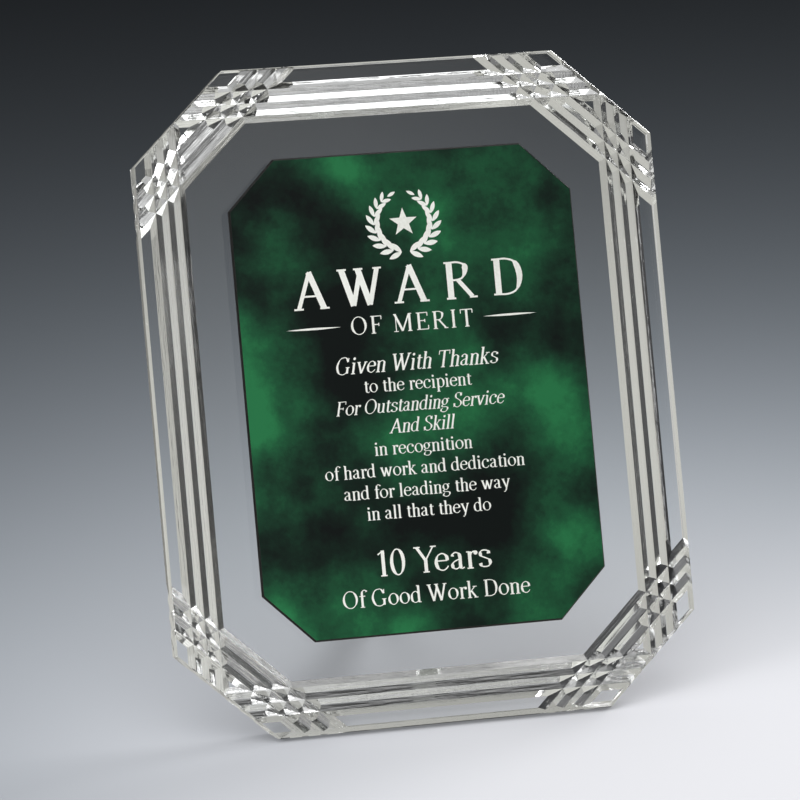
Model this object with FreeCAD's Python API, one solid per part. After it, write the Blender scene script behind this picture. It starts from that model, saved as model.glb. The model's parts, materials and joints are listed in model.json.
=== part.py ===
import FreeCAD, Part
import math
import os

# Free-standing octagonal award plaque. Millimetres, +Z up, front of the plaque towards -Y.
# The origin is the centre of the ground flat that the plate stands on.
#
# Every piece is first built upright: X across the plate, Y from the front face (0) to the back
# face (PLATE_THICKNESS), Z up the plate from its bottom edge. lean_back() then tilts it.

INCH = 25.4

# Plate
PLATE_WIDTH = 8 * INCH
PLATE_HEIGHT = 10 * INCH
PLATE_THICKNESS = 10.0
CORNER_ACROSS = 36.6
CORNER_UP = 34.4
ARRIS = 0.3
LEAN_DEG = 22.0
FOOT_RISE = 2.3

# Grooves on the back face, three beside each of the eight edges
GROOVE_COUNT = 3
GROOVE_WIDTH = 4.86
GROOVE_ANGLE_DEG = 87.0
GROOVE_RIDGE = 0.08
SIDE_MARGIN = 5.2
TOP_MARGIN = 5.2
CORNER_MARGIN = 5.7
BOTTOM_MARGIN = 6.3

# Panel bonded to the front face
PANEL_WIDTH = 134.8
PANEL_HEIGHT = 184.0
PANEL_CORNER = 18.9
CORE_THICKNESS = 1.2
CORE_BEVEL = 0.7
CAP_THICKNESS = 0.2
FILM_THICKNESS = 0.15
FILM_INSET = 1.5

# Threaded insert, bonded in a blind hole in the back face
INSERT_RADIUS = 4.5
INSERT_LENGTH = 6.5
INSERT_SINK = 0.1
INSERT_CHAMFER = 0.3
BARB_COUNT = 3
BARB_WIDTH = 0.8
BARB_DEPTH = 0.4
GLUE_WALL = 0.15
GLUE_FLOOR = 0.4

# Stud with a quarter-inch thread, fixed in the post
STUD_RADIUS = INCH / 8
STUD_CLEARANCE = 0.05
STUD_ENGAGED = 6.0
STUD_IN_POST = 14.0
STUD_CHAMFER = 0.6

# Washer between post and plate
WASHER_RADIUS = 7.5
WASHER_THICKNESS = 1.0
WASHER_CLEARANCE = 0.08
SEAT_GAP = 0.02

# Post: grip ring, then a cone down to the rod
POST_RADIUS = 4.75
POST_REACH = 95.0
GRIP_RADIUS = 7.5
GRIP_LENGTH = 6.0
GRIP_CHAMFER = 0.6
NECK_LENGTH = 3.0
FLUTE_COUNT = 30
FLUTE_RADIUS = 0.45

# Rubber tip over the end of the rod
TIP_RADIUS = 6.5
TIP_SLEEVE = 13.0
TIP_LIP_RADIUS = 7.1
TIP_LIP_LENGTH = 2.0

OVERSHOOT = 5.0
FULL_TURN_DEG = 360.0

LEAN = math.radians(LEAN_DEG)
GROOVE_PITCH = GROOVE_WIDTH + GROOVE_RIDGE
GROOVE_SLOPE = math.tan(math.radians(GROOVE_ANGLE_DEG / 2))
GROOVE_DEPTH = GROOVE_WIDTH / 2 / GROOVE_SLOPE
FOOT_DEPTH = FOOT_RISE / math.tan(LEAN)
POST_HEIGHT = FOOT_RISE + (TIP_RADIUS + POST_REACH * math.sin(LEAN)) / math.cos(LEAN)
HOLE_RADIUS = INSERT_RADIUS + GLUE_WALL
HOLE_DEPTH = INSERT_SINK + INSERT_LENGTH + GLUE_FLOOR
POST_START = PLATE_THICKNESS + WASHER_THICKNESS + 2 * SEAT_GAP
POST_END = PLATE_THICKNESS + POST_REACH

ALONG_X = FreeCAD.Vector(1, 0, 0)
ALONG_Y = FreeCAD.Vector(0, 1, 0)


def inset(outline, distance):
    """The outline (width, height, corner across, corner up) drawn in by distance on all eight sides."""
    width, height, across, up = outline
    trim = distance * (across + up - math.hypot(across, up))
    return (width - 2 * distance, height - 2 * distance, across - trim / up, up - trim / across)


def octagon(outline):
    """Corners (x, z) of a cut-corner rectangle centred on the plate, anticlockwise from the front."""
    width, height, across, up = outline
    side = width / 2
    low = (PLATE_HEIGHT - height) / 2
    high = (PLATE_HEIGHT + height) / 2
    return [
        (side - across, low),
        (side, low + up),
        (side, high - up),
        (side - across, high),
        (across - side, high),
        (-side, high - up),
        (-side, low + up),
        (across - side, low),
    ]


def wire(outline, y):
    """Closed wire round an outline in the plane at depth y."""
    points = [FreeCAD.Vector(x, y, z) for x, z in octagon(outline)]
    return Part.makePolygon(points + points[:1])


def slab(outline, front, back):
    """Flat piece with square edges between two depths."""
    return Part.Face(wire(outline, front)).extrude(ALONG_Y * (back - front))


def bevelled(outline, front, back, bevel):
    """Flat piece whose front outline is drawn in by bevel."""
    return Part.makeLoft([wire(inset(outline, bevel), front), wire(outline, back)], True, True)


def rod(radius, start, end):
    """Cylinder about the post's axis between two depths."""
    centre = FreeCAD.Vector(0, start, POST_HEIGHT)
    return Part.makeCylinder(radius, end - start, centre, ALONG_Y)


def cone(start_radius, end_radius, start, end):
    """Cone about the post's axis between two depths."""
    centre = FreeCAD.Vector(0, start, POST_HEIGHT)
    return Part.makeCone(start_radius, end_radius, end - start, centre, ALONG_Y)


def chamfered_rod(radius, start, end, start_chamfer, end_chamfer):
    """Cylinder with a 45-degree chamfer at each end; a chamfer of 0 leaves that end square."""
    pieces = [rod(radius, start + start_chamfer, end - end_chamfer)]
    if start_chamfer:
        pieces.append(cone(radius - start_chamfer, radius, start, start + start_chamfer))
    if end_chamfer:
        pieces.append(cone(radius, radius - end_chamfer, end - end_chamfer, end))
    return joined(pieces)


def joined(pieces):
    """One solid made of touching pieces."""
    whole = pieces[0]
    for piece in pieces[1:]:
        whole = whole.fuse(piece)
    return whole.removeSplitter()


def groove_bars(start, end, margin):
    """The V-shaped bars that carve grooves, margin in from the plate's edge from start to end."""
    along = FreeCAD.Vector(end[0] - start[0], 0, end[1] - start[1])
    length = along.Length
    along.normalize()
    inward = FreeCAD.Vector(-along.z, 0, along.x)
    run_out = PLATE_WIDTH / 2
    half_width = (GROOVE_DEPTH + OVERSHOOT) * GROOVE_SLOPE
    bars = []
    for index in range(GROOVE_COUNT):
        across = margin + GROOVE_WIDTH / 2 + index * GROOVE_PITCH
        centre = FreeCAD.Vector(start[0], PLATE_THICKNESS, start[1]) + inward * across - along * run_out
        valley = centre - ALONG_Y * GROOVE_DEPTH
        open_side = centre + ALONG_Y * OVERSHOOT
        corners = [valley, open_side + inward * half_width, open_side - inward * half_width]
        section = Part.Face(Part.makePolygon(corners + corners[:1]))
        bars.append(section.extrude(along * (length + 2 * run_out)))
    return bars


def lean_back(shape):
    """Tilts an upright shape back and sets the middle of the ground flat on the origin."""
    middle = FreeCAD.Vector(0, PLATE_THICKNESS - FOOT_DEPTH / 2, FOOT_RISE / 2)
    tilt = FreeCAD.Rotation(ALONG_X, -LEAN_DEG)
    leaning = shape.copy()
    leaning.Placement = FreeCAD.Placement(-tilt.multVec(middle), tilt)
    return leaning


PLATE = (PLATE_WIDTH, PLATE_HEIGHT, CORNER_ACROSS, CORNER_UP)
PANEL = (PANEL_WIDTH, PANEL_HEIGHT, PANEL_CORNER, PANEL_CORNER)
PANEL_FACE = inset(PANEL, CORE_BEVEL)

# In the order of octagon()'s edges, from the lower right corner round to the bottom
MARGINS = [
    CORNER_MARGIN, SIDE_MARGIN, CORNER_MARGIN, TOP_MARGIN,
    CORNER_MARGIN, SIDE_MARGIN, CORNER_MARGIN, BOTTOM_MARGIN,
]


def crystal_plate():
    """Clear octagonal plate with carved grooves, a ground foot flat and a blind hole for the insert."""
    plate = joined([
        bevelled(PLATE, 0, ARRIS, ARRIS),
        slab(PLATE, ARRIS, PLATE_THICKNESS - ARRIS),
        bevelled(PLATE, PLATE_THICKNESS, PLATE_THICKNESS - ARRIS, ARRIS),
    ])
    corners = octagon(PLATE)
    bars = []
    for start, end, margin in zip(corners, corners[1:] + corners[:1], MARGINS):
        bars.extend(groove_bars(start, end, margin))
    below = [
        FreeCAD.Vector(0, PLATE_THICKNESS - FOOT_DEPTH, 0),
        FreeCAD.Vector(0, PLATE_THICKNESS - FOOT_DEPTH, -OVERSHOOT),
        FreeCAD.Vector(0, PLATE_THICKNESS + OVERSHOOT, -OVERSHOOT),
        FreeCAD.Vector(0, PLATE_THICKNESS + OVERSHOOT, FOOT_RISE + OVERSHOOT * math.tan(LEAN)),
    ]
    foot = Part.Face(Part.makePolygon(below + below[:1])).extrude(ALONG_X * PLATE_WIDTH)
    foot.translate(-ALONG_X * PLATE_WIDTH / 2)
    hole = rod(HOLE_RADIUS, PLATE_THICKNESS - HOLE_DEPTH, PLATE_THICKNESS + OVERSHOOT)
    return plate.cut(bars + [foot, hole])


def panel_film():
    """Clear adhesive sheet between the plate and the panel's core."""
    return slab(inset(PANEL, FILM_INSET), -FILM_THICKNESS, 0)


def panel_core():
    """Black core plate; its bevelled edge frames the green face."""
    back = -FILM_THICKNESS
    return bevelled(PANEL, back - CORE_THICKNESS, back, CORE_BEVEL)


def panel_face():
    """Thin marbled green layer on the front of the core."""
    back = -FILM_THICKNESS - CORE_THICKNESS
    return slab(PANEL_FACE, back - CAP_THICKNESS, back)


def insert_glue():
    """Thin cup of adhesive that lines the blind hole around the insert."""
    floor = PLATE_THICKNESS - HOLE_DEPTH
    rim = PLATE_THICKNESS - INSERT_SINK
    return rod(HOLE_RADIUS, floor, rim).cut(rod(INSERT_RADIUS, floor + GLUE_FLOOR, rim))


def threaded_insert():
    """Brass insert with grooves round its outside and a bore for the stud."""
    start = PLATE_THICKNESS - INSERT_SINK - INSERT_LENGTH
    end = PLATE_THICKNESS - INSERT_SINK
    bore = STUD_RADIUS + STUD_CLEARANCE
    insert = rod(INSERT_RADIUS, start, end).cut(rod(bore, start, end))
    spacing = INSERT_LENGTH / (BARB_COUNT + 1)
    for index in range(BARB_COUNT):
        middle = start + spacing * (index + 1)
        low = middle - BARB_WIDTH / 2
        high = middle + BARB_WIDTH / 2
        insert = insert.cut(rod(INSERT_RADIUS, low, high).cut(rod(INSERT_RADIUS - BARB_DEPTH, low, high)))
    return insert.cut(cone(bore, bore + INSERT_CHAMFER, end - INSERT_CHAMFER, end))


def post_washer():
    """Washer that keeps the post off the plate."""
    start = PLATE_THICKNESS + SEAT_GAP
    end = start + WASHER_THICKNESS
    return rod(WASHER_RADIUS, start, end).cut(rod(STUD_RADIUS + WASHER_CLEARANCE, start, end))


def post_stud():
    """Stud that joins the post to the insert."""
    start = PLATE_THICKNESS - INSERT_SINK - STUD_ENGAGED
    end = POST_START + STUD_IN_POST
    return chamfered_rod(STUD_RADIUS, start, end, STUD_CHAMFER, 0)


def easel_post():
    """Rod with a fluted grip ring; it props the plate up from behind."""
    grip_end = POST_START + GRIP_LENGTH
    neck_end = grip_end + NECK_LENGTH
    post = joined([
        chamfered_rod(GRIP_RADIUS, POST_START, grip_end, GRIP_CHAMFER, GRIP_CHAMFER),
        cone(GRIP_RADIUS - GRIP_CHAMFER, POST_RADIUS, grip_end, neck_end),
        rod(POST_RADIUS, neck_end, POST_END),
    ])
    flutes = []
    for index in range(FLUTE_COUNT):
        turn = math.radians(FULL_TURN_DEG * index / FLUTE_COUNT)
        x = GRIP_RADIUS * math.cos(turn)
        z = POST_HEIGHT + GRIP_RADIUS * math.sin(turn)
        base = FreeCAD.Vector(x, POST_START, z)
        flutes.append(Part.makeCylinder(FLUTE_RADIUS, GRIP_LENGTH, base, ALONG_Y))
    socket = rod(STUD_RADIUS, POST_START, POST_START + STUD_IN_POST)
    return post.cut(flutes + [socket])


def post_tip():
    """Rubber cap with a lip and a round end that rests on the table."""
    start = POST_END - TIP_SLEEVE
    centre = FreeCAD.Vector(0, POST_END, POST_HEIGHT)
    cap = joined([
        rod(TIP_RADIUS, start, POST_END),
        rod(TIP_LIP_RADIUS, start, start + TIP_LIP_LENGTH),
        Part.makeSphere(TIP_RADIUS, centre).common(rod(TIP_LIP_RADIUS, POST_END, POST_END + TIP_RADIUS)),
    ])
    return cap.cut(rod(POST_RADIUS, start, POST_END))


PIECES = [
    crystal_plate,
    panel_film,
    panel_core,
    panel_face,
    insert_glue,
    threaded_insert,
    post_washer,
    post_stud,
    easel_post,
    post_tip,
]

os.makedirs("parts", exist_ok=True)
for piece in PIECES:
    lean_back(piece()).exportStep("parts/" + piece.__name__ + ".step")
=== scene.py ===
import json
import math

import bpy
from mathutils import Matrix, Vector
from mathutils.geometry import delaunay_2d_cdt


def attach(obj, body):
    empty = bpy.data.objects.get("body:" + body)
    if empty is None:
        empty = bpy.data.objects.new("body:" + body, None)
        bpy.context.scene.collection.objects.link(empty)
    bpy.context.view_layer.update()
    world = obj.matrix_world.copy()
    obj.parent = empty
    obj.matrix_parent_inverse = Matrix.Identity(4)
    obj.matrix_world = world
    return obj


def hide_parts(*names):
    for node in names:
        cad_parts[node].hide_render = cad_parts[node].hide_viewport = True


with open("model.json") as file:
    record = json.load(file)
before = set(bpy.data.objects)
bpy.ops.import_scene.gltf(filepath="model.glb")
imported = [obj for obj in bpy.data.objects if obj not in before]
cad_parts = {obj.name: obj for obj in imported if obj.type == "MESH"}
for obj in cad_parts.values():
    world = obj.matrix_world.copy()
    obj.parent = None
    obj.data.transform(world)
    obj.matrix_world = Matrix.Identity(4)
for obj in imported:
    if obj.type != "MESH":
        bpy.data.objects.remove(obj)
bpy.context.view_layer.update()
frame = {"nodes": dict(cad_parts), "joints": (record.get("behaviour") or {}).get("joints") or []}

MM = 0.001

# The plate's own directions, from the axis of the post that stands square to its back
BACKWARD = Vector(frame["joints"][0]["axis"]).normalized()
ACROSS = Vector((1, 0, 0))
UPWARD = ACROSS.cross(BACKWARD).normalized()
LEAN = math.asin(-BACKWARD.z)


def reach(node, direction):
    """Lowest and highest place of a CAD node along a direction, in metres."""
    places = [vertex.co.dot(direction) for vertex in frame["nodes"][node].data.vertices]
    return min(places), max(places)


class Shader:
    """The nodes of one material, or of a world, and short ways to add to them."""

    def __init__(self, name, world=False):
        self.owner = (bpy.data.worlds if world else bpy.data.materials).new(name)
        self.owner.use_nodes = True
        self.tree = self.owner.node_tree
        self.tree.nodes.clear()
        self.target = self.tree.nodes.new("ShaderNodeOutputWorld" if world else "ShaderNodeOutputMaterial")

    def add(self, kind, inputs=None, output=0, **settings):
        """Adds a node, sets or links its inputs by name or number, and returns one of its outputs."""
        made = self.tree.nodes.new("ShaderNode" + kind)
        for key, value in settings.items():
            setattr(made, key, value)
        for key, value in (inputs or {}).items():
            if isinstance(value, bpy.types.NodeSocket):
                self.tree.links.new(value, made.inputs[key])
            else:
                made.inputs[key].default_value = value
        return made.outputs[output]

    def math(self, operation, first, second=0.0, third=0.0):
        return self.add("Math", {0: first, 1: second, 2: third}, operation=operation)

    def ramp(self, factor, stops):
        """Colour ramp through (position, colour) stops."""
        value = self.add("ValToRGB", {"Fac": factor})
        elements = value.node.color_ramp.elements
        while len(elements) < len(stops):
            elements.new(1.0)
        for element, (position, colour) in zip(elements, stops):
            element.position = position
            element.color = (*colour, 1.0)
        return value

    def grey_ramp(self, factor, stops):
        """Brightness ramp through (position, level) stops."""
        return self.ramp(factor, [(position, (level, level, level)) for position, level in stops])

    def noise(self, place, scale, detail=4.0, roughness=0.5):
        inputs = {"Vector": place, "Scale": scale, "Detail": detail, "Roughness": roughness}
        return self.add("TexNoise", inputs)

    def dot(self, first, second):
        return self.add("VectorMath", {0: first, 1: second}, "Value", operation="DOT_PRODUCT")

    def place(self, stretch=(1.0, 1.0, 1.0)):
        """Place in metres across, into and up the plate, with each direction stretched."""
        turned = self.add("Mapping", {"Vector": self.add("TexCoord", output="Object"),
                                      "Rotation": (LEAN, 0.0, 0.0)})
        return self.add("VectorMath", {0: turned, 1: stretch}, operation="MULTIPLY")

    def blend(self, factor, first, second):
        """Colour that goes from the first to the second as the factor goes from 0 to 1."""
        return self.add("Mix", {0: factor, 6: first, 7: second}, 2, data_type="RGBA")

    def span(self, value, low, high):
        """Spreads the values 0 to 1 over low to high."""
        return self.add("MapRange", {"Value": value, "To Min": low, "To Max": high})

    def bump(self, height, distance):
        return self.add("Bump", {"Height": height, "Distance": distance})

    def unit(self, vector):
        return self.add("VectorMath", {0: vector}, operation="NORMALIZE")

    def lines(self, along, depth, scales, roughness):
        """Noise with one scale along and one in depth, drawn out in the direction of the smaller scale."""
        scaled_along = self.math("MULTIPLY", along, scales[0])
        scaled_depth = self.math("MULTIPLY", depth, scales[1])
        return self.noise(self.add("CombineXYZ", {0: scaled_along, 1: scaled_depth}), 1.0, 2.0, roughness)

    def principled(self, **inputs):
        """Principled shader; an underscore in an input's name stands for a space."""
        return self.add("BsdfPrincipled", {key.replace("_", " "): value for key, value in inputs.items()})

    def finish(self, surface):
        self.tree.links.new(surface, self.target.inputs["Surface"])
        return self.owner


# Materials

GLASS_TINT = (0.985, 0.995, 0.992, 1.0)
GLASS_IOR = 1.5
LIGHT_THROUGH_CUTS = (0.30, 0.31, 0.31, 1.0)
LIGHT_THROUGH_FACES = (0.86, 0.87, 0.87, 1.0)

# Cosine between a face's normal and the plate's own: the faces above it are not cut
FACE_ON = 0.9

# Marks of the wheel per metre, along a groove and in depth
STREAKS = (60.0, 1000.0)
TICKS = (1100.0, 350.0)
TICK_SHARE = 0.30
CUT_HAZE = 0.012
CUT_RELIEF = 0.00005


def crystal_material():
    """Clear polished glass. The cut faces keep faint streaks of the wheel along each groove."""
    s = Shader("crystal")
    normal = s.add("NewGeometry", output="True Normal")
    polished = s.math("GREATER_THAN", s.math("ABSOLUTE", s.dot(normal, tuple(BACKWARD))), FACE_ON)
    cut = s.math("SUBTRACT", 1.0, polished)
    place = s.add("TexCoord", output="Object")
    groove = s.unit(s.add("VectorMath", {0: normal, 1: tuple(BACKWARD)}, operation="CROSS_PRODUCT"))
    along = s.dot(place, groove)
    depth = s.dot(place, tuple(BACKWARD))
    streaks = s.lines(along, depth, STREAKS, 0.6)
    ticks = s.lines(along, depth, TICKS, 0.7)
    height = s.math("MULTIPLY", s.math("MULTIPLY_ADD", ticks, TICK_SHARE, streaks), cut)
    haze = s.math("MULTIPLY", s.span(streaks, 0.0, CUT_HAZE), cut)
    glass = s.principled(Base_Color=GLASS_TINT, Roughness=haze, IOR=GLASS_IOR, Transmission_Weight=1.0,
                         Normal=s.bump(height, CUT_RELIEF))
    clear = s.add("BsdfTransparent", {"Color": s.blend(polished, LIGHT_THROUGH_CUTS, LIGHT_THROUGH_FACES)})
    shadow = s.add("LightPath", output="Is Shadow Ray")
    return s.finish(s.add("MixShader", {0: shadow, 1: glass, 2: clear}))


MARBLE_SHIFT = (0.31, 0.0, 0.12)


def marble_material():
    """Satin green layer with soft dark clouds, lighter patches and a fine sponged mottle."""
    s = Shader("green_marble")
    place = s.place()
    clouds = s.noise(s.add("VectorMath", {0: place, 1: MARBLE_SHIFT}), 23.0, 1.5, 0.45)
    wisps = s.noise(place, 55.0, 2.0, 0.5)
    sponge = s.noise(place, 520.0, 3.0, 0.6)
    depth = s.math("MULTIPLY_ADD", s.math("SUBTRACT", wisps, 0.5), 0.40, clouds)
    depth = s.math("MULTIPLY_ADD", s.math("SUBTRACT", sponge, 0.5), 0.13, depth)
    colour = s.ramp(depth, [
        (0.34, (0.0045, 0.0070, 0.0065)), (0.43, (0.0065, 0.019, 0.0125)), (0.52, (0.0100, 0.047, 0.0240)),
        (0.61, (0.0135, 0.088, 0.038)), (0.73, (0.022, 0.175, 0.064))])
    roughness = s.span(sponge, 0.34, 0.48)
    return s.finish(s.principled(Base_Color=colour, Roughness=roughness, Specular_IOR_Level=0.12,
                                 Normal=s.bump(sponge, 0.00002)))


def enamel_material():
    """Ivory enamel that fills the letters, very slightly uneven."""
    s = Shader("ivory_enamel")
    place = s.place()
    grain = s.noise(place, 900.0, 3.0, 0.6)
    cloud = s.noise(place, 70.0, 2.0)
    colour = s.ramp(s.math("MULTIPLY_ADD", grain, 0.5, s.math("MULTIPLY", cloud, 0.5)), [
        (0.3, (0.80, 0.81, 0.75)), (0.5, (0.92, 0.93, 0.88)), (0.7, (0.97, 0.98, 0.94))])
    return s.finish(s.principled(Base_Color=colour, Roughness=s.span(grain, 0.42, 0.6),
                                 Normal=s.bump(grain, 0.00001)))


def core_material():
    """Black plastic with fine saw marks on its bevelled edge."""
    s = Shader("black_core")
    marks = s.noise(s.place((300.0, 6000.0, 300.0)), 1.0, 3.0)
    colour = s.ramp(marks, [(0.35, (0.004, 0.0035, 0.0035)), (0.65, (0.012, 0.011, 0.0105))])
    return s.finish(s.principled(Base_Color=colour, Roughness=s.span(marks, 0.32, 0.52),
                                 Specular_IOR_Level=0.15, Normal=s.bump(marks, 0.00002)))


BUBBLE_TONE = (0.34, 0.35, 0.35, 1.0)
# Painted light: the cup adhesive glows, standing in for light that the glass gathers round it
CUP_GLOW = 1.4


def adhesive_material(name, colour, bubbles_per_metre, glow=0.0):
    """Opaque adhesive with small trapped bubbles and soft clouds.

    The glow is for looks only: it keeps a hidden piece from showing as a dark spot in the cut glass.
    """
    s = Shader(name)
    place = s.place()
    bubbles = s.add("TexVoronoi", {"Vector": place, "Scale": bubbles_per_metre}, "Distance")
    rim = s.ramp(bubbles, [(0.0, (1.0, 1.0, 1.0)), (0.09, (0.7, 0.7, 0.7)), (0.14, (0.0, 0.0, 0.0))])
    cloud = s.noise(place, 45.0, 4.0)
    dark = tuple(0.45 * part for part in colour)
    base = s.ramp(cloud, [(0.35, dark), (0.65, colour)])
    speckled = s.blend(s.math("MULTIPLY", rim, 0.5), base, BUBBLE_TONE)
    return s.finish(s.principled(Base_Color=speckled, Emission_Color=speckled, Emission_Strength=glow,
                                 Roughness=s.span(cloud, 0.12, 0.34), Normal=s.bump(rim, 0.00003)))


def turned_metal(name, dark, light, roughness, rings_per_metre):
    """Machined metal: fine tool rings round the post's axis and faint handling stains."""
    s = Shader(name)
    into = s.dot(s.add("TexCoord", output="Object"), tuple(BACKWARD))
    rings = s.noise(s.add("CombineXYZ", {0: s.math("MULTIPLY", into, rings_per_metre)}), 1.0, 4.0, 0.7)
    stains = s.noise(s.place(), 160.0, 4.0, 0.6)
    colour = s.ramp(s.math("MULTIPLY_ADD", stains, 0.6, s.math("MULTIPLY", rings, 0.4)), [
        (0.35, dark), (0.62, light)])
    worn = s.math("MULTIPLY_ADD", stains, 0.5, s.math("MULTIPLY", rings, 0.5))
    return s.finish(s.principled(Base_Color=colour, Metallic=1.0,
                                 Roughness=s.span(worn, roughness * 0.6, roughness * 1.5),
                                 Normal=s.bump(rings, 0.000015)))


def moulded_material(name, dark, light, roughness, grain_per_metre, relief):
    """Moulded nylon or rubber: fine grain, cloudy tone and matte patches."""
    s = Shader(name)
    grain = s.noise(s.place(), grain_per_metre, 3.0, 0.65)
    cloud = s.noise(s.place(), 110.0, 3.0)
    colour = s.ramp(s.math("MULTIPLY_ADD", grain, 0.4, s.math("MULTIPLY", cloud, 0.6)), [
        (0.35, dark), (0.65, light)])
    return s.finish(s.principled(Base_Color=colour, Roughness=s.span(cloud, roughness * 0.8, roughness * 1.2),
                                 Normal=s.bump(grain, relief)))


steel = turned_metal("steel", (0.36, 0.36, 0.37), (0.66, 0.66, 0.65), 0.30, 5000.0)
FINISHES = {
    "crystal_plate": crystal_material(),
    "panel_face": marble_material(),
    "panel_core": core_material(),
    "panel_film": adhesive_material("film_adhesive", (0.035, 0.036, 0.037), 260.0),
    "insert_glue": adhesive_material("cup_adhesive", (0.30, 0.31, 0.29), 900.0, CUP_GLOW),
    "threaded_insert": turned_metal("brass", (0.50, 0.33, 0.12), (0.82, 0.61, 0.28), 0.28, 7000.0),
    "post_washer": moulded_material("nylon", (0.62, 0.61, 0.55), (0.78, 0.77, 0.72), 0.5, 1500.0, 0.00002),
    "post_stud": steel,
    "easel_post": turned_metal("post_metal", (0.60, 0.61, 0.62), (0.86, 0.87, 0.88), 0.20, 4500.0),
    "post_tip": moulded_material("rubber", (0.22, 0.22, 0.21), (0.34, 0.34, 0.33), 0.7, 2600.0, 0.00004),
}
for node, material in FINISHES.items():
    for slot in frame["nodes"][node].material_slots:
        slot.material = material


# Pieces made here


def add_piece(name, vertices, faces, material, body):
    """Mesh piece that moves with a CAD body."""
    mesh = bpy.data.meshes.new(name)
    mesh.from_pydata(vertices, [], faces)
    mesh.materials.append(material)
    piece = bpy.data.objects.new(name, mesh)
    bpy.context.scene.collection.objects.link(piece)
    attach(piece, body)
    return piece


THREAD_PITCH = 25.4 / 20 * MM
THREAD_DEPTH = 0.62 * MM
THREAD_TIP = 0.6 * MM
THREAD_CREST = 0.12
TURN_STEPS = 40
PITCH_STEPS = 10


def add_threaded_stud():
    """Stud with a real helical thread, in place of the plain one."""
    front, back = reach("post_stud", BACKWARD)
    low, high = reach("post_stud", ACROSS)
    outer = (high - low) / 2
    pivot = Vector(frame["joints"][1]["pos_m"])
    axis_point = pivot - BACKWARD * pivot.dot(BACKWARD)
    rows = math.ceil((back - front) / THREAD_PITCH * PITCH_STEPS)
    vertices = []
    for row in range(rows + 1):
        depth = front + (back - front) * row / rows
        room = outer - THREAD_TIP + (depth - front)
        for step in range(TURN_STEPS):
            phase = (depth / THREAD_PITCH + step / TURN_STEPS) % 1.0
            flank = min(1.0, abs(2 * phase - 1) * (1 + 2 * THREAD_CREST) - THREAD_CREST)
            radius = min(outer - THREAD_DEPTH * max(0.0, flank), room)
            turn = 2 * math.pi * step / TURN_STEPS
            ray = ACROSS * math.cos(turn) + UPWARD * math.sin(turn)
            vertices.append(axis_point + BACKWARD * depth + ray * radius)
    faces = []
    for row in range(rows):
        for step in range(TURN_STEPS):
            here = row * TURN_STEPS + step
            after = row * TURN_STEPS + (step + 1) % TURN_STEPS
            faces.append((here, here + TURN_STEPS, after + TURN_STEPS, after))
    faces.append(tuple(range(TURN_STEPS)))
    faces.append(tuple(range(rows * TURN_STEPS, (rows + 1) * TURN_STEPS))[::-1])
    stud = add_piece("threaded_stud", vertices, faces, steel, "post")
    for face in stud.data.polygons:
        face.use_smooth = len(face.vertices) == 4
    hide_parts("post_stud")


add_threaded_stud()


# Lettering and emblem: closed shapes that stand a little proud of the panel's face

RELIEF = 0.05 * MM
ROOT = 0.02 * MM
GLYPH_UNITS = 100.0
NIB_ANGLE = math.radians(100)
THICK = 14.0
TITLE_THICK = 17.0
THIN = 5.0
SERIF = 13.0
MERGE_DISTANCE = 1e-4
DOT_RADIUS = 8.5
DOT_CORNERS = 12
CURVE_STEPS = 4
RING_POINTS = 12
WORD_SPACE = 32.0
SLANT = 0.22
ITALIC_WIDTH = 0.93

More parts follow.
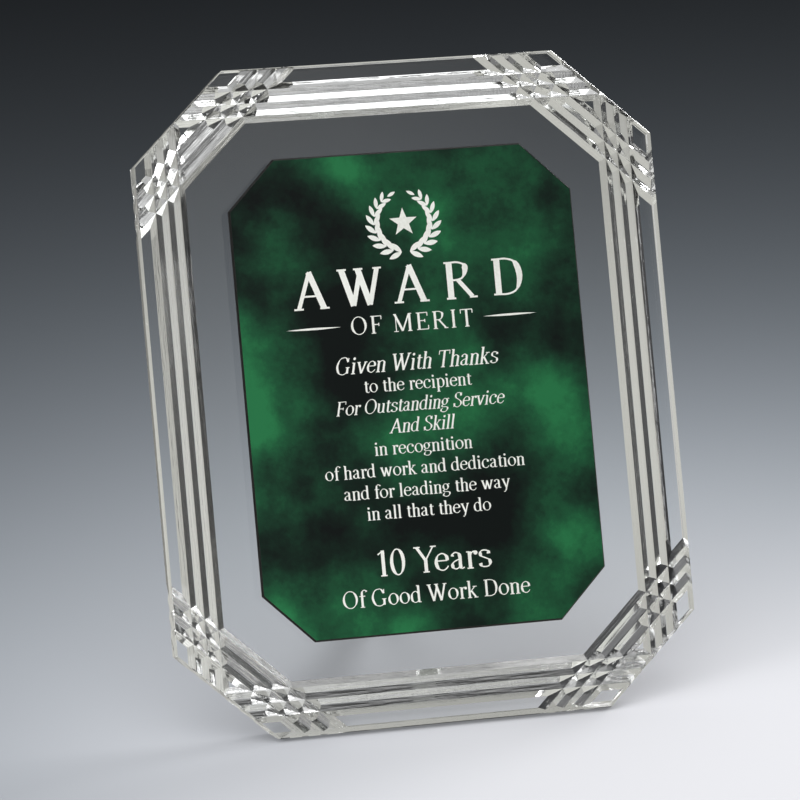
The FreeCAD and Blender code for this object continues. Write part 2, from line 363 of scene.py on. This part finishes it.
# Each letter's advance and strokes, in hundredths of a capital's height. I: thick upright (x, low, high),
# V: thin upright, H: thin bar (from, to, height), U: serif (x, height), D: dot (x, y),
# L: straight stroke through points, C: curve through points, O: ring (centre, radii).
GLYPHS = {
    "a": (62, "C 11 52 14 62 25 67 37 62 42 48 42 12 48 2 58 6; C 42 40 24 34 11 24 11 10 21 2 33 5 42 16"),
    "c": (62, "C 55 54 45 65 31 67 15 58 8 34 15 10 31 1 46 5 57 16; D 51 53"),
    "d": (70, "I 52 2 102; H 40 54 101; H 52 66 2; C 52 52 40 66 26 66 12 54 8 34 12 12 26 1 40 4 52 18"),
    "e": (62, "H 10 54 39; C 54 39 52 54 42 65 30 67 15 58 8 34 15 10 32 1 47 6 57 17"),
    "f": (42, "I 22 0 80; C 22 76 25 94 36 102 48 98 52 92; H 6 42 66; U 22 0"),
    "g": (64, "O 28 45 19 22; C 44 60 52 66 60 64; "
              "C 18 26 10 16 16 8 36 7 52 3 56 -10 44 -26 24 -29 8 -22 8 -10 18 0"),
    "h": (68, "I 16 0 102; U 16 0; H 4 16 100; C 16 48 28 64 42 66 52 56 52 40; I 52 0 44; U 52 0"),
    "i": (36, "I 18 0 66; U 18 0; H 5 18 65; D 17 90"),
    "k": (68, "I 16 0 102; U 16 0; H 4 16 100; L 18 30 50 65; H 38 62 66; L 28 40 54 2; H 44 68 0"),
    "l": (36, "I 18 0 102; U 18 0; H 5 18 100"),
    "n": (68, "I 16 0 66; U 16 0; H 4 16 65; C 16 48 28 64 42 66 52 56 52 40; I 52 0 44; U 52 0"),
    "o": (68, "O 34 34 26 33"),
    "p": (70, "I 18 -32 66; U 18 -32; H 5 18 65; C 18 50 30 66 44 67 57 54 61 34 57 12 44 1 30 2 18 14"),
    "r": (48, "I 18 0 66; U 18 0; H 5 18 65; C 18 46 28 62 40 66 46 62; D 43 60"),
    "s": (56, "C 46 52 44 62 30 67 16 64 12 54 16 44 32 36 46 28 50 16 44 4 28 1 14 5 10 16"),
    "t": (42, "I 20 10 84; C 20 14 24 3 34 1 42 7; H 6 40 66"),
    "u": (68, "I 15 20 66; C 15 24 18 7 30 1 42 6 52 20; I 52 2 66; H 40 52 65; H 52 66 2; H 3 14 65"),
    "v": (68, "L 12 66 36 0; L 36 0 58 66; H 2 24 66; H 48 68 66"),
    "w": (98, "L 12 66 32 0; L 32 0 48 60; L 46 66 66 0; L 66 0 86 66; H 2 24 66; H 76 96 66"),
    "y": (68, "L 12 66 36 2; L 58 66 30 -22; C 30 -22 24 -30 14 -28; H 2 24 66; H 48 68 66"),
    "A": (96, "L 12 0 48 100; L 46 100 82 0; H 26 66 34; U 12 0; U 84 0"),
    "D": (92, "I 20 0 100; C 20 98 48 98 72 86 82 50 72 14 48 2 20 2; H 6 22 98; H 6 22 2"),
    "E": (82, "I 20 0 100; H 6 72 98; H 6 74 2; H 20 54 52; V 71 78 98; V 75 2 24; V 55 42 60"),
    "F": (74, "I 20 0 100; H 6 70 98; H 20 52 50; V 69 78 98; V 53 40 58; U 20 0"),
    "G": (102, "C 80 74 66 96 50 101 24 90 10 50 24 10 50 -1 70 6 80 22; I 80 4 40; U 80 40; V 81 74 98"),
    "I": (44, "I 22 0 100; U 22 0; U 22 100"),
    "M": (120, "V 18 0 98; L 14 100 56 2; L 56 2 98 100; I 100 0 100; U 18 0; U 100 0; H 6 20 99; "
               "H 96 114 99"),
    "O": (100, "O 50 50 40 51"),
    "R": (92, "I 20 0 100; C 20 98 44 98 62 90 64 74 56 56 40 50 20 50; L 42 50 80 2; H 6 22 98; U 20 0; "
              "H 72 94 1"),
    "S": (74, "C 58 78 50 96 36 101 20 96 14 80 22 64 44 50 62 34 62 14 46 0 28 0 14 10 10 26; "
              "V 60 78 100; V 9 0 26"),
    "T": (84, "I 42 0 98; H 6 78 98; V 7 76 98; V 77 76 98; U 42 0"),
    "W": (126, "L 12 100 40 0; L 40 0 64 92; L 58 100 86 0; L 86 0 112 100; H 0 26 99; H 46 72 99; "
               "H 100 124 99"),
    "Y": (92, "L 12 100 46 46; L 46 46 80 100; I 46 0 50; U 46 0; H 0 26 99; H 68 92 99"),
    "0": (66, "O 34 50 24 51"),
    "1": (52, "I 30 0 100; U 30 0; L 10 84 30 98"),
}
KERNING = {"AW": -14.0, "WA": -14.0, "Ye": -14.0}


def box(left, right, low, high):
    return [[Vector((left, low)), Vector((right, low)), Vector((right, high)), Vector((left, high))]]


def nib_width(along, thick):
    """Width of a broad nib's stroke, from the direction in which the nib travels."""
    turn = math.atan2(along.y, along.x) - NIB_ANGLE
    return THIN + (thick - THIN) * max(0.0, math.cos(2 * turn))


def ribbon(path, thick, closed=False):
    """Four-cornered shapes that a nib sweeps along a path."""
    count = len(path)
    sides = []
    for index, point in enumerate(path):
        before = path[index - 1] if closed or index > 0 else point
        after = path[(index + 1) % count] if closed or index < count - 1 else point
        along = (after - before).normalized()
        half = Vector((-along.y, along.x)) * nib_width(along, thick) / 2
        sides.append((point + half, point - half))
    if closed:
        sides.append(sides[0])
    return [around([start[1], end[1], end[0], start[0]]) for start, end in zip(sides, sides[1:])]


def around(corners):
    """The corners in anticlockwise order about their middle."""
    middle = sum(corners, Vector((0.0, 0.0))) / len(corners)
    return sorted(corners, key=lambda corner: math.atan2(corner.y - middle.y, corner.x - middle.x))


def smooth(points):
    """Points along a Catmull-Rom curve through the given ones."""
    ends = [points[0] * 2 - points[1]] + points + [points[-1] * 2 - points[-2]]
    path = []
    for a, b, c, d in zip(ends, ends[1:], ends[2:], ends[3:]):
        for step in range(CURVE_STEPS):
            t = step / CURVE_STEPS
            path.append((b * 2 + (c - a) * t + (a * 2 - b * 5 + c * 4 - d) * t * t
                         + (b * 3 - a - c * 3 + d) * t ** 3) / 2)
    return path + points[-1:]


def ellipse(x, y, width, height, count):
    turns = [2 * math.pi * index / count for index in range(count)]
    return [Vector((x + width * math.cos(turn), y + height * math.sin(turn))) for turn in turns]


def pairs(numbers):
    return [Vector(pair) for pair in zip(numbers[::2], numbers[1::2])]


STROKES = {
    "I": lambda n, thick: box(n[0] - thick / 2, n[0] + thick / 2, n[1], n[2]),
    "V": lambda n, thick: box(n[0] - THIN / 2, n[0] + THIN / 2, n[1], n[2]),
    "H": lambda n, thick: box(n[0], n[1], n[2] - THIN / 2, n[2] + THIN / 2),
    "U": lambda n, thick: box(n[0] - SERIF, n[0] + SERIF, n[1] - THIN / 2, n[1] + THIN / 2),
    "D": lambda n, thick: [ellipse(n[0], n[1], DOT_RADIUS, DOT_RADIUS, DOT_CORNERS)],
    "L": lambda n, thick: ribbon(pairs(n), thick),
    "C": lambda n, thick: ribbon(smooth(pairs(n)), thick),
    "O": lambda n, thick: ribbon(ellipse(*n, RING_POINTS * 2), thick, closed=True),
}


def merged(shapes):
    """Corners and triangles of the area that overlapping shapes cover together."""
    corners = [corner for shape in shapes for corner in shape]
    rings = []
    first = 0
    for shape in shapes:
        rings.append(list(range(first, first + len(shape))))
        first += len(shape)
    found = delaunay_2d_cdt(corners, [], rings, 0, MERGE_DISTANCE)
    faces = [face for face, sources in zip(found[2], found[5]) if sources]
    return found[0], faces


LETTERS = {}


def letter_area(letter, thick):
    """The letter's merged area, worked out once for each thickness."""
    if (letter, thick) not in LETTERS:
        shapes = []
        for stroke in GLYPHS[letter][1].split(";"):
            kind, *numbers = stroke.split()
            shapes.extend(STROKES[kind]([float(number) for number in numbers], thick))
        LETTERS[letter, thick] = merged(shapes)
    return LETTERS[letter, thick]


def written(line, cap, baseline, spacing=0.0, italic=False, thick=THICK):
    """Areas of a line of letters, centred on the panel, in mm, with extra spacing between letters."""
    narrow = ITALIC_WIDTH if italic else 1.0
    slant = SLANT if italic else 0.0
    scale = cap / GLYPH_UNITS
    starts = [0.0]
    for letter, following in zip(line, line[1:] + " "):
        advance = WORD_SPACE if letter == " " else GLYPHS[letter][0]
        advance += KERNING.get(letter + following, 0.0)
        starts.append(starts[-1] + advance * narrow * scale + spacing)
    width = starts[-1] - spacing
    areas = []
    for index, letter in enumerate(line):
        if letter == " ":
            continue
        corners, faces = letter_area(letter, thick)
        left = starts[index] - width / 2
        moved = [Vector((left + (corner.x * narrow + corner.y * slant) * scale, baseline + corner.y * scale))
                 for corner in corners]
        areas.append((moved, faces))
    return areas


def relief(name, areas):
    """Piece that stands proud of the panel's face, from areas in mm about the panel's middle."""
    front = reach("panel_face", BACKWARD)[0]
    middle = sum(reach("panel_face", UPWARD)) / 2
    vertices = []
    faces = []
    for corners, triangles in areas:
        first = len(vertices)
        count = len(corners)
        for depth in (front - RELIEF, front + ROOT):
            vertices.extend(ACROSS * corner.x * MM + UPWARD * (middle + corner.y * MM) + BACKWARD * depth
                            for corner in corners)
        edges = {(a, b) for face in triangles for a, b in zip(face, face[1:] + face[:1])}
        faces.extend(tuple(first + corner for corner in face) for face in triangles)
        faces.extend(tuple(first + count + corner for corner in reversed(face)) for face in triangles)
        faces.extend((first + count + a, first + count + b, first + b, first + a)
                     for a, b in sorted(edges) if (b, a) not in edges)
    return add_piece(name, vertices, faces, enamel, "award")


LEAF_STEPS = 8
LEAF_FULLNESS = 0.8


def leaf(x, y, turn, length, width):
    """Pointed oval that grows from (x, y) in the direction turn."""
    along = Vector((math.cos(turn), math.sin(turn)))
    side = Vector((-along.y, along.x))
    swell = [math.sin(math.pi * step / LEAF_STEPS) ** LEAF_FULLNESS * width / 2
             for step in range(LEAF_STEPS + 1)]
    right = [Vector((x, y)) + along * length * step / LEAF_STEPS - side * swell[step]
             for step in range(LEAF_STEPS + 1)]
    left = [Vector((x, y)) + along * length * step / LEAF_STEPS + side * swell[step]
            for step in range(LEAF_STEPS - 1, 0, -1)]
    return right + left


EMBLEM_HEIGHT = 64.5
WREATH_RADIUS = 11.5
WREATH_FROM = math.radians(-82)
WREATH_TO = math.radians(62)
LEAF_PAIRS = 9
LEAF_LENGTH = 5.6
LEAF_WIDTH = 2.0
LEAF_SPLAY = math.radians(33)
LEAF_SHRINK = 0.35
STAR_RADIUS = 5.6
STAR_WAIST = 2.3
STAR_POINTS = 5


def emblem_areas():
    """Laurel wreath round a five-pointed star."""
    shapes = []
    for pair in range(LEAF_PAIRS + 1):
        turn = WREATH_FROM + (WREATH_TO - WREATH_FROM) * pair / LEAF_PAIRS
        x = WREATH_RADIUS * math.cos(turn)
        y = EMBLEM_HEIGHT + WREATH_RADIUS * math.sin(turn)
        growing = turn + math.pi / 2
        size = 1.0 - LEAF_SHRINK * (pair / LEAF_PAIRS) ** 2
        splays = (0.0,) if pair == LEAF_PAIRS else (-LEAF_SPLAY, LEAF_SPLAY)
        for splay in splays:
            right = leaf(x, y, growing + splay, LEAF_LENGTH * size, LEAF_WIDTH * size)
            left = [Vector((-corner.x, corner.y)) for corner in reversed(right)]
            shapes.extend([right, left])
    star = []
    for point in range(2 * STAR_POINTS):
        radius = STAR_WAIST if point % 2 else STAR_RADIUS
        turn = math.pi / 2 + math.pi * point / STAR_POINTS
        star.append(Vector((radius * math.cos(turn), EMBLEM_HEIGHT + radius * math.sin(turn))))
    return [merged(shapes), merged([star])]


def rule_areas(height, near, far, width):
    """Two thin tapering rules, left and right of the middle."""
    right = leaf(near, height, 0.0, far - near, width)
    left = leaf(-far, height, 0.0, far - near, width)
    return [merged([right]), merged([left])]


RULE_HEIGHT = 26.3
RULE_NEAR = 28.0
RULE_FAR = 49.0
RULE_WIDTH = 0.8

# Each line's words, height of capitals, baseline and spacing in mm, then whether it slopes
TITLE = (("AWARD", 14.0, 34.0, 6.0, False, TITLE_THICK), ("OF MERIT", 6.6, 23.0, 1.0))
DEDICATION = (
    ("Given With Thanks", 6.3, 8.2, 0.05, True),
    ("to the recipient", 5.0, 0.6, 0.05),
    ("For Outstanding Service", 5.3, -7.4, 0.0, True),
    ("And Skill", 5.3, -15.4, 0.0, True),
    ("in recognition", 5.0, -23.5, 0.05),
    ("of hard work and dedication", 5.0, -31.6, 0.05),
    ("and for leading the way", 5.0, -39.7, 0.05),
    ("in all that they do", 5.0, -47.8, 0.05),
)
FOOTER = (("10 Years", 9.6, -69.2, 0.2), ("Of Good Work Done", 6.3, -80.4, 0.1))


def text_areas(lines):
    """Areas of all the lines together."""
    return [area for line in lines for area in written(*line)]


enamel = enamel_material()
relief("panel_emblem", emblem_areas())
relief("panel_title", text_areas(TITLE) + rule_areas(RULE_HEIGHT, RULE_NEAR, RULE_FAR, RULE_WIDTH))
relief("panel_dedication", text_areas(DEDICATION))
relief("panel_footer", text_areas(FOOTER))


# Stage

CAMERA_AZIMUTH = math.radians(-13.86)
CAMERA_ELEVATION = math.radians(18.88)
CAMERA_DISTANCE = 1.7155
CAMERA_TARGET = Vector((-0.0070, 0.040, 0.1163))
CAMERA_LENS = 202.5


def add_camera():
    """Camera that looks at the award as the photo does."""
    data = bpy.data.cameras.new("camera")
    data.lens = CAMERA_LENS
    camera = bpy.data.objects.new("camera", data)
    level = math.cos(CAMERA_ELEVATION)
    back = Vector((math.sin(CAMERA_AZIMUTH) * level, -math.cos(CAMERA_AZIMUTH) * level,
                   math.sin(CAMERA_ELEVATION)))
    camera.location = CAMERA_TARGET + back * CAMERA_DISTANCE
    camera.rotation_mode = "QUATERNION"
    camera.rotation_quaternion = (-back).to_track_quat("-Z", "Y")
    bpy.context.scene.collection.objects.link(camera)
    bpy.context.scene.camera = camera


FLOOR_RADIUS = 4.0
FLOOR_SIDES = 128
# Painted shade: seen straight on, the floor's colour falls off with distance from SHADE_CENTRE, from
# SHADE_NEAR to SHADE_FAR
SHADE_CENTRE = (0.10, -0.10, 0.0)
SHADE_REACH = 0.33
SHADE_STEEPNESS = 2.75
SHADE_NEAR = (0.73, 0.733, 0.765, 1.0)
SHADE_FAR = (0.645, 0.733, 0.828, 1.0)
# Painted light: rays bent by the cut glass meet a broad lit tone and a brighter pool of light round
# LIT_CENTRE
LIT_CENTRE = (-0.20, -0.17, 0.0)
LIT_REACH = 1.25
LIT_STEEPNESS = 3.5
LIT_TONE = (0.31, 0.308, 0.285)
LIGHT_POOL_REACH = 0.15
LIGHT_POOL_STEEPNESS = 5.0
LIGHT_POOL_TONE = (0.65, 0.67, 0.68)
# Painted light: a share of the floor's colour glows, LIT_GAIN times as strongly for bent rays
FLOOR_GLOW = 0.20
LIT_GAIN = 5.0
TENT_BRIGHT = Vector((-0.20, -0.50, 0.84)).normalized()
TENT_DARK = Vector((0.62, -0.62, 0.48)).normalized()
TENT_BACK = Vector((-0.15, 0.75, 0.64)).normalized()
HORIZON = (0.015, 0.016, 0.019, 1.0)

# Sine of the elevation at which the horizon's tone ends, and at which the tent is at its full level
HORIZON_TOP = 0.12
TENT_FOOT = 0.5

# Cosine between the line of sight and the ray: below BENT it is bent, above STRAIGHT it is straight
BENT = 0.9985
STRAIGHT = 0.9998


def falloff(s, place, centre, reach, steepness):
    """One at the centre, a half at the reach and falling towards zero beyond it."""
    distance = s.add("VectorMath", {0: place, 1: centre}, "Value", operation="DISTANCE")
    beyond = s.math("POWER", s.math("DIVIDE", distance, reach), steepness)
    return s.math("DIVIDE", 1.0, s.math("ADD", 1.0, beyond))


def scaled(s, colour, factor):
    return s.add("VectorMath", {"Vector": colour, "Scale": factor}, operation="SCALE")


def floor_material():
    """Pale table with painted light and shade: darker away from the award for straight sight, a painted lit
    tone and pool of light for rays bent by the cut glass, and a share that glows.
    """
    s = Shader("floor")
    place = s.add("NewGeometry", output="Position")
    # Painted shade for straight sight: darker with distance
    near = falloff(s, place, SHADE_CENTRE, SHADE_REACH, SHADE_STEEPNESS)
    shade = scaled(s, s.blend(near, SHADE_FAR, SHADE_NEAR), near)
    # Painted light for bent rays: a broad lit tone and a pool of light
    broad = scaled(s, LIT_TONE, falloff(s, place, LIT_CENTRE, LIT_REACH, LIT_STEEPNESS))
    light_pool = scaled(s, LIGHT_POOL_TONE, falloff(s, place, LIT_CENTRE, LIGHT_POOL_REACH, LIGHT_POOL_STEEPNESS))
    lit = s.add("VectorMath", {0: broad, 1: light_pool}, operation="ADD")
    line = s.unit(s.add("TexCoord", output="Camera"))
    coming = s.add("NewGeometry", output="Incoming")
    seen = s.add("VectorTransform", {0: coming}, vector_type="VECTOR", convert_from="WORLD",
                 convert_to="CAMERA")
    along = s.math("ABSOLUTE", s.dot(line, s.unit(seen)))
    straight = s.add("MapRange", {"Value": along, "From Min": BENT, "From Max": STRAIGHT})
    colour = s.blend(straight, lit, shade)
    table = s.add("BsdfDiffuse", {"Color": colour})
    # Painted light: the glowing share is LIT_GAIN times as bright for bent rays
    strength = s.span(straight, LIT_GAIN, 1.0)
    glow = s.add("Emission", {"Color": colour, "Strength": strength})
    return s.finish(s.add("MixShader", {0: FLOOR_GLOW, 1: table, 2: glow}))


def add_floor():
    """Wide round floor."""
    mesh = bpy.data.meshes.new("floor")
    rim = [(*corner, 0.0) for corner in ellipse(0.0, 0.0, FLOOR_RADIUS, FLOOR_RADIUS, FLOOR_SIDES)]
    mesh.from_pydata(rim, [], [list(range(FLOOR_SIDES))])
    floor = bpy.data.objects.new("floor", mesh)
    bpy.context.scene.collection.objects.link(floor)
    mesh.materials.append(floor_material())


LAMP_AIM = (0.0, 0.0, 0.1)

# Each lamp's name, place, aim, width and height in metres, and power in watts
SOFTBOXES = (
    ("top_softbox", (-0.15, -0.35, 1.5), (-0.15, -0.35, 0.0), 1.3, 1.5, 7.0),
    ("left_softbox", (-1.35, -0.70, 0.80), LAMP_AIM, 0.5, 0.5, 10.0),
    ("right_softbox", (1.35, 0.65, 0.85), LAMP_AIM, 0.7, 0.6, 20.0),
)


def add_softbox(name, place, aim, width, height, power):
    """Rectangular lamp that shines towards its aim."""
    data = bpy.data.lights.new(name, "AREA")
    data.shape = "RECTANGLE"
    data.size = width
    data.size_y = height
    data.energy = power
    light = bpy.data.objects.new(name, data)
    light.location = place
    light.rotation_mode = "QUATERNION"
    light.rotation_quaternion = (Vector(aim) - Vector(place)).to_track_quat("-Z", "Y")
    bpy.context.scene.collection.objects.link(light)


def studio_world():
    """Light tent: bright above and before the plate, softer behind it, dark to its right front."""
    s = Shader("studio", world=True)
    direction = s.unit(s.add("TexCoord", output="Generated"))
    bright = s.grey_ramp(s.dot(direction, tuple(TENT_BRIGHT)), [
        (0.30, 0.16), (0.50, 0.36), (0.66, 0.50), (0.80, 0.68), (0.90, 0.92), (1.0, 1.2)])
    dark = s.grey_ramp(s.dot(direction, tuple(TENT_DARK)), [(0.89, 1.0), (0.94, 0.05), (1.0, 0.02)])
    back = s.grey_ramp(s.dot(direction, tuple(TENT_BACK)), [(0.60, 0.0), (0.85, 0.42), (1.0, 0.75)])
    tent = s.math("MAXIMUM", s.math("MULTIPLY", bright, dark), back)
    height = s.add("SeparateXYZ", {0: direction}, "Z")
    above = s.add("MapRange", {"Value": height, "From Min": HORIZON_TOP, "From Max": TENT_FOOT})
    return s.finish(s.add("Background", {"Color": s.blend(above, HORIZON, tent)}))


add_camera()
add_floor()
for softbox in SOFTBOXES:
    add_softbox(*softbox)

LIGHT_BOUNCES = 24
MIRROR_BOUNCES = 12

scene = bpy.context.scene
scene.world = studio_world()
scene.view_settings.view_transform = "Standard"
scene.cycles.use_denoising = True
scene.cycles.caustics_reflective = False
scene.cycles.caustics_refractive = False
scene.cycles.max_bounces = LIGHT_BOUNCES
scene.cycles.transmission_bounces = LIGHT_BOUNCES
scene.cycles.glossy_bounces = MIRROR_BOUNCES
scene.cycles.transparent_max_bounces = LIGHT_BOUNCES
